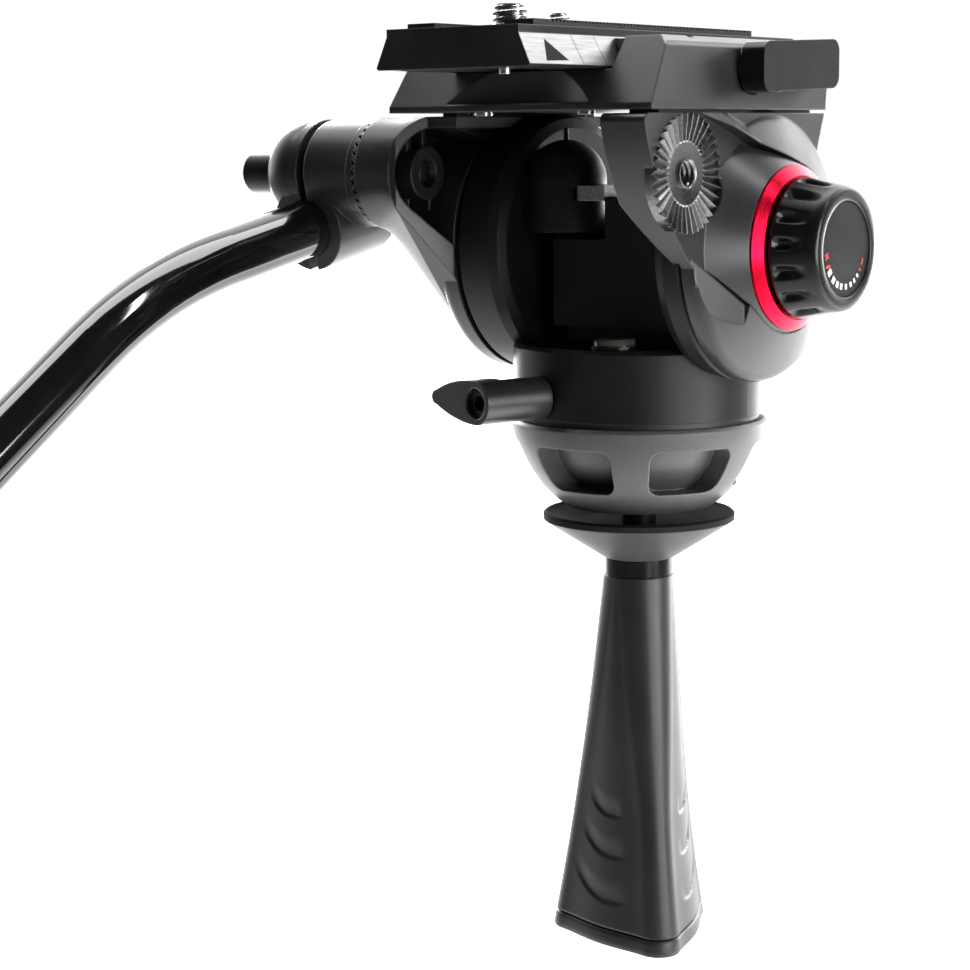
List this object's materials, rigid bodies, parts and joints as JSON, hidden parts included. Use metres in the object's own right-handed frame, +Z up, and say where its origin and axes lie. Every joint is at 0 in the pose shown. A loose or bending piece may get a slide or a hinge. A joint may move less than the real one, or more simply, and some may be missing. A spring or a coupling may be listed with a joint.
{
  "type": "fluid pan and tilt video head",
  "caption": "Pan and tilt video head on a levelling half ball, with a bowl clamp handle, a cranked pan bar in a rosette clamp, and a sliding camera plate locked by a side lever.",
  "frame": {"origin": "centre of the half ball's sphere, on the pan axis", "axes": "+Z up along the pan axis; +X along the tilt axis towards the drag knob; -Y is the operator's side, where the pan bar points"},
  "size_m": [0.1792, 0.379, 0.2697],
  "materials": {
    "body_paint": "satin black paint with a fine texture on cast alloy",
    "ball_paint": "satin grey paint on cast alloy",
    "steel": "turned",
    "bare_steel": "bright machined",
    "black_steel": "blackened steel, satin",
    "bronze": "turned",
    "cast_alloy": "cast",
    "bearing_plastic": "matt",
    "black_plastic": "satin",
    "clear_vial": "clear",
    "knob_rubber": "soft touch",
    "red_ring": "anodised",
    "dial_face": "satin",
    "plate_alloy": "dark anodised, machined bright flanks",
    "pad_rubber": "matt",
    "bare_alloy": "milled",
    "gloss_tube": "gloss black on alloy tube",
    "grip_rubber": "matt",
    "saucer_plastic": "satin",
    "handle_plastic": "fine grain"
  },
  "bodies": {
    "ball_base": {"half_ball": "ball_paint", "tie_rod": "black_steel", "pan_spindle": "steel", "half_ball_screws": "black_steel", "spindle_circlip": "black_steel", "pan_thrust_ring": "bearing_plastic", "pan_brake_drum": "steel"},
    "pan_unit": {"pan_housing": "body_paint", "pan_bush": "bronze", "pan_damper_case": "cast_alloy", "tilt_stop_plate": "steel", "level_cup": "black_plastic", "level_vial": "clear_vial", "tilt_bushes": "bronze", "tilt_damper_case": "cast_alloy", "counterbalance_spring": "black_steel", "pan_brake_shoe": "bronze"},
    "pan_lock": {"pan_lock_lever": "body_paint", "pan_lock_bolt": "black_steel"},
    "pan_drag": {"pan_drag_knob": "knob_rubber", "pan_drag_stem": "steel"},
    "tilt_unit": {"platform": "body_paint", "left_arm": "body_paint", "right_arm": "body_paint", "tilt_axle": "steel", "tilt_damper_rotor": "cast_alloy", "tilt_brake_disc": "steel", "right_rosette": "bare_steel", "left_rosette": "black_steel", "drag_dial_ring": "red_ring", "platform_screws": "black_steel", "underside_screws": "steel", "release_spring": "steel"},
    "tilt_drag": {"tilt_drag_knob": "knob_rubber", "drag_dial_disc": "dial_face", "tilt_drag_stem": "steel"},
    "tilt_lock": {"tilt_lock_lever": "body_paint", "tilt_lock_stem": "steel"},
    "slide_plate": {"camera_plate": "plate_alloy", "plate_pads": "pad_rubber", "plate_stop_pins": "steel"},
    "large_screw_carrier": {"camera_screw_large_washer": "black_steel"},
    "large_screw": {"camera_screw_large": "bare_steel"},
    "small_screw_carrier": {"camera_screw_small_washer": "black_steel"},
    "small_screw": {"camera_screw_small": "bare_steel"},
    "clamp_gib": {"plate_clamp_gib": "bare_alloy"},
    "plate_lock": {"plate_lock_lever": "black_plastic", "plate_lock_stem": "steel"},
    "release_catch": {"plate_release_button": "black_plastic"},
    "bar_clamp": {"bar_clamp_body": "body_paint", "bar_clamp_cap": "body_paint"},
    "clamp_bolt": {"bar_clamp_bolt": "black_steel"},
    "pan_bar": {"pan_bar_tube": "gloss_tube", "pan_bar_grip": "grip_rubber", "bar_end_plug": "black_plastic"},
    "bowl_saucer": {"clamp_saucer": "saucer_plastic"},
    "bowl_handle": {"handle_grip": "handle_plastic", "handle_end_cap": "handle_plastic", "handle_insert": "bronze", "handle_neck_ring": "black_plastic"}
  },
  "joints": [
    {"name": "pan", "type": "hinge", "parent": "ball_base", "child": "pan_unit", "pos_m": [0, 0, 0], "axis": [0, 0, 1], "continuous": true},
    {"name": "pan_lock_turn", "type": "hinge", "parent": "pan_unit", "child": "pan_lock", "pos_m": [0, 0, 0.0026], "axis": [-0.2588, -0.9659, 0], "range_deg": [-15, 80]},
    {"name": "pan_drag_turn", "type": "hinge", "parent": "pan_unit", "child": "pan_drag", "pos_m": [0, 0.04, 0.0056], "axis": [0, 1, 0], "range_deg": [-135, 135]},
    {"name": "tilt", "type": "hinge", "parent": "pan_unit", "child": "tilt_unit", "pos_m": [0, 0, 0.044], "axis": [1, 0, 0], "range_deg": [-70, 60]},
    {"name": "tilt_drag_turn", "type": "hinge", "parent": "tilt_unit", "child": "tilt_drag", "pos_m": [0.06, 0, 0.044], "axis": [1, 0, 0], "range_deg": [-75, 75]},
    {"name": "tilt_lock_turn", "type": "hinge", "parent": "tilt_unit", "child": "tilt_lock", "pos_m": [-0.05, 0, 0.044], "axis": [1, 0, 0], "range_deg": [-15, 60]},
    {"name": "plate_travel", "type": "slide", "parent": "tilt_unit", "child": "slide_plate", "axis": [0, 1, 0], "range_m": [-0.0152, 0.0188]},
    {"name": "large_screw_travel", "type": "slide", "parent": "slide_plate", "child": "large_screw_carrier", "axis": [0, 1, 0], "range_m": [-0.0034, 0.002]},
    {"name": "large_screw_spin", "type": "hinge", "parent": "large_screw_carrier", "child": "large_screw", "pos_m": [0, -0.0603, 0.095], "axis": [0, 0, 1], "continuous": true},
    {"name": "small_screw_travel", "type": "slide", "parent": "slide_plate", "child": "small_screw_carrier", "axis": [0, 1, 0], "range_m": [-0.0025, 0.0557]},
    {"name": "small_screw_spin", "type": "hinge", "parent": "small_screw_carrier", "child": "small_screw", "pos_m": [0, -0.0385, 0.095], "axis": [0, 0, 1], "continuous": true},
    {"name": "plate_lock_turn", "type": "hinge", "parent": "tilt_unit", "child": "plate_lock", "pos_m": [0.046, -0.0095, 0.0923], "axis": [1, 0, 0], "range_deg": [0, 70]},
    {"name": "gib_travel", "type": "slide", "parent": "tilt_unit", "child": "clamp_gib", "axis": [1, 0, 0], "range_m": [0, 0.0008]},
    {"name": "release_press", "type": "slide", "parent": "tilt_unit", "child": "release_catch", "axis": [1, 0, 0], "range_m": [0, 0.0022], "stiffness_N_per_m": 400, "springref_m": -0.001},
    {"name": "bar_clamp_turn", "type": "hinge", "parent": "tilt_unit", "child": "bar_clamp", "pos_m": [-0.0626, -0.04, 0.0647], "axis": [1, 0, 0], "continuous": true},
    {"name": "clamp_bolt_turn", "type": "hinge", "parent": "bar_clamp", "child": "clamp_bolt", "pos_m": [-0.1, -0.04, 0.0647], "axis": [1, 0, 0], "continuous": true},
    {"name": "bar_twist", "type": "hinge", "parent": "bar_clamp", "child": "pan_bar", "pos_m": [-0.08, -0.04, 0.0515], "axis": [0, -0.9796, -0.2011], "range_deg": [-90, 15]},
    {"name": "saucer_travel", "type": "slide", "parent": "ball_base", "child": "bowl_saucer", "axis": [0, 0, 1], "range_m": [-0.024, 0.0015]},
    {"name": "handle_spin", "type": "hinge", "parent": "bowl_saucer", "child": "bowl_handle", "pos_m": [0, 0, -0.06], "axis": [0, 0, 1], "range_deg": [-5766, 362]}
  ],
  "couplings": [
    {"joint": "handle_spin", "follows": "saucer_travel", "rad_per_m": 4188.8},
    {"joint": "plate_lock_turn", "follows": "gib_travel", "rad_per_m": 1526.1}
  ]
}
